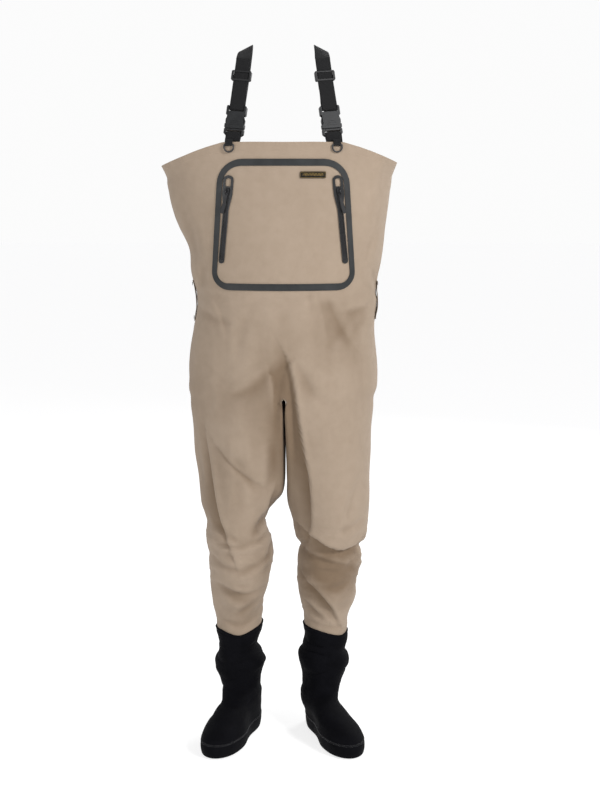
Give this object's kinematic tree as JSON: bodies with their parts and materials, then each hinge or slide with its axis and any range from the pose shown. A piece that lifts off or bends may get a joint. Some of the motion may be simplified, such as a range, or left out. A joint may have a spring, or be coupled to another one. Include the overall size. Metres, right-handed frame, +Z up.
{
  "type": "chest waders",
  "caption": "Stockingfoot chest waders as worn: tan bib and legs, welded zip pocket, webbing braces with side-release buckles, D-rings, neoprene socks.",
  "frame": {"origin": "on the floor under the middle of the whole object's box", "axes": "+Z up along the body, -Y the way the wearer faces, +X the wearer's left"},
  "size_m": [0.4836, 0.2967, 1.4307],
  "materials": {
    "shell_fabric": "matt woven laminate, tan",
    "pocket_fabric": "matt woven laminate, tan",
    "seam_tape": "smooth heat-sealed tape, grey",
    "welded_tape": "welded film tape, dark grey",
    "zip_coil": "coated water-resistant coil, black",
    "zip_metal": "black enamel",
    "pull_rubber": "moulded rubber, black",
    "label": "woven label, black with a gold line",
    "buckle_plastic": "moulded acetal, black",
    "webbing": "ribbed webbing, black",
    "loop_webbing": "webbing, dark brown",
    "elastic": "ribbed elastic, black",
    "ring_plastic": "moulded acetal, black",
    "neoprene": "jersey-faced neoprene, black",
    "neoprene_sole": "embossed neoprene, black"
  },
  "bodies": {
    "root": {"ankle_seam_tape_left": "seam_tape", "ankle_seam_tape_right": "seam_tape", "back_hem_tape_left": "seam_tape", "back_hem_tape_right": "seam_tape", "back_panel_left": "shell_fabric", "back_panel_right": "shell_fabric", "back_seam_tape": "seam_tape", "belt_loop_back": "loop_webbing", "belt_loop_left": "loop_webbing", "belt_loop_right": "loop_webbing", "buckle_male_left": "buckle_plastic", "buckle_male_right": "buckle_plastic", "chest_pocket_panel": "pocket_fabric", "crotch_gusset": "shell_fabric", "front_hem_tape_left": "seam_tape", "front_hem_tape_right": "seam_tape", "front_panel_left": "shell_fabric", "front_panel_right": "shell_fabric", "front_seam_tape": "seam_tape", "inseam_tape_left": "seam_tape", "inseam_tape_right": "seam_tape", "label_patch": "label", "pocket_border_tape": "welded_tape", "ring_tab_left": "webbing", "ring_tab_right": "webbing", "side_seam_tape_left": "seam_tape", "side_seam_tape_right": "seam_tape", "sock_sole_left": "neoprene_sole", "sock_sole_right": "neoprene_sole", "sock_upper_left": "neoprene", "sock_upper_right": "neoprene", "strap_anchor_left": "webbing", "strap_anchor_right": "webbing", "strap_elastic_left": "elastic", "strap_elastic_right": "elastic", "strap_webbing_left": "webbing", "strap_webbing_right": "webbing", "zip_chain_left": "zip_coil", "zip_chain_right": "zip_coil", "zip_surround_left": "welded_tape", "zip_surround_right": "welded_tape"},
    "buckle_female_left": {"buckle_female_left": "buckle_plastic"},
    "buckle_arm_outer_left": {"buckle_arm_outer_left": "buckle_plastic"},
    "buckle_arm_inner_left": {"buckle_arm_inner_left": "buckle_plastic"},
    "tri_glide_left": {"tri_glide_left": "buckle_plastic"},
    "zip_slider_left": {"zip_slider_left": "zip_metal"},
    "zip_puller_left": {"zip_puller_left": "zip_metal"},
    "zip_pull_tab_left": {"zip_pull_tab_left": "pull_rubber"},
    "d_ring_left": {"d_ring_left": "ring_plastic"},
    "buckle_female_right": {"buckle_female_right": "buckle_plastic"},
    "buckle_arm_outer_right": {"buckle_arm_outer_right": "buckle_plastic"},
    "buckle_arm_inner_right": {"buckle_arm_inner_right": "buckle_plastic"},
    "tri_glide_right": {"tri_glide_right": "buckle_plastic"},
    "zip_slider_right": {"zip_slider_right": "zip_metal"},
    "zip_puller_right": {"zip_puller_right": "zip_metal"},
    "zip_pull_tab_right": {"zip_pull_tab_right": "pull_rubber"},
    "d_ring_right": {"d_ring_right": "ring_plastic"}
  },
  "joints": [
    {"name": "buckle_release_left", "type": "slide", "parent": "root", "child": "buckle_female_left", "axis": [-0.1322, 0.2268, 0.9649], "range_m": [0, 0.032], "deforming": ["strap_webbing_left", "buckle_arm_outer_left", "buckle_arm_inner_left"]},
    {"name": "buckle_arm_outer_left", "type": "hinge", "parent": "root", "child": "buckle_arm_outer_left", "pos_m": [0.1061, -0.06433, 1.26481], "axis": [0.1981, -0.9478, 0.2499], "range_deg": [0, 9], "stiffness_Nm_per_rad": 0.2},
    {"name": "buckle_arm_inner_left", "type": "hinge", "parent": "root", "child": "buckle_arm_inner_left", "pos_m": [0.08377, -0.06949, 1.26296], "axis": [-0.1981, 0.9478, -0.2499], "range_deg": [0, 9], "stiffness_Nm_per_rad": 0.2},
    {"name": "tri_glide_slide_left", "type": "slide", "parent": "root", "child": "tri_glide_left", "axis": [-0.1322, 0.2268, 0.9649], "range_m": [-0.012, 0.02], "deforming": ["strap_webbing_left"]},
    {"name": "zip_slide_left", "type": "slide", "parent": "root", "child": "zip_slider_left", "axis": [0.0975, 0.0747, -0.9924], "range_m": [0, 0.125]},
    {"name": "zip_puller_swing_left", "type": "hinge", "parent": "zip_slider_left", "child": "zip_puller_left", "pos_m": [0.11081, -0.08728, 1.14087], "axis": [-0.9422, -0.3142, -0.1162], "range_deg": [0, 165]},
    {"name": "zip_tab_swivel_left", "type": "hinge", "parent": "zip_puller_left", "child": "zip_pull_tab_left", "pos_m": [0.11232, -0.08612, 1.12549], "axis": [-0.3205, 0.9464, 0.0398], "range_deg": [-25, 25]},
    {"name": "d_ring_swing_left", "type": "hinge", "parent": "root", "child": "d_ring_left", "pos_m": [0.10566, -0.08609, 1.231], "axis": [-0.9768, -0.214, 0], "range_deg": [0, 140]},
    {"name": "buckle_release_right", "type": "slide", "parent": "root", "child": "buckle_female_right", "axis": [0.1322, 0.2268, 0.9649], "range_m": [0, 0.032], "deforming": ["strap_webbing_right", "buckle_arm_outer_right", "buckle_arm_inner_right"]},
    {"name": "buckle_arm_outer_right", "type": "hinge", "parent": "root", "child": "buckle_arm_outer_right", "pos_m": [-0.1061, -0.06433, 1.26481], "axis": [0.1981, 0.9478, -0.2499], "range_deg": [0, 9], "stiffness_Nm_per_rad": 0.2},
    {"name": "buckle_arm_inner_right", "type": "hinge", "parent": "root", "child": "buckle_arm_inner_right", "pos_m": [-0.08377, -0.06949, 1.26296], "axis": [-0.1981, -0.9478, 0.2499], "range_deg": [0, 9], "stiffness_Nm_per_rad": 0.2},
    {"name": "tri_glide_slide_right", "type": "slide", "parent": "root", "child": "tri_glide_right", "axis": [0.1322, 0.2268, 0.9649], "range_m": [-0.012, 0.02], "deforming": ["strap_webbing_right"]},
    {"name": "zip_slide_right", "type": "slide", "parent": "root", "child": "zip_slider_right", "axis": [-0.0975, 0.0747, -0.9924], "range_m": [0, 0.125]},
    {"name": "zip_puller_swing_right", "type": "hinge", "parent": "zip_slider_right", "child": "zip_puller_right", "pos_m": [-0.11081, -0.08728, 1.14087], "axis": [-0.9422, 0.3142, 0.1162], "range_deg": [0, 165]},
    {"name": "zip_tab_swivel_right", "type": "hinge", "parent": "zip_puller_right", "child": "zip_pull_tab_right", "pos_m": [-0.11232, -0.08612, 1.12549], "axis": [-0.3205, -0.9464, -0.0398], "range_deg": [-25, 25]},
    {"name": "d_ring_swing_right", "type": "hinge", "parent": "root", "child": "d_ring_right", "pos_m": [-0.10566, -0.08609, 1.231], "axis": [-0.9768, 0.214, 0], "range_deg": [0, 140]}
  ],
  "couplings": [
    {"joint": "buckle_arm_inner_left", "follows": "buckle_arm_outer_left", "ratio": 1},
    {"joint": "buckle_arm_inner_right", "follows": "buckle_arm_outer_right", "ratio": 1}
  ]
}
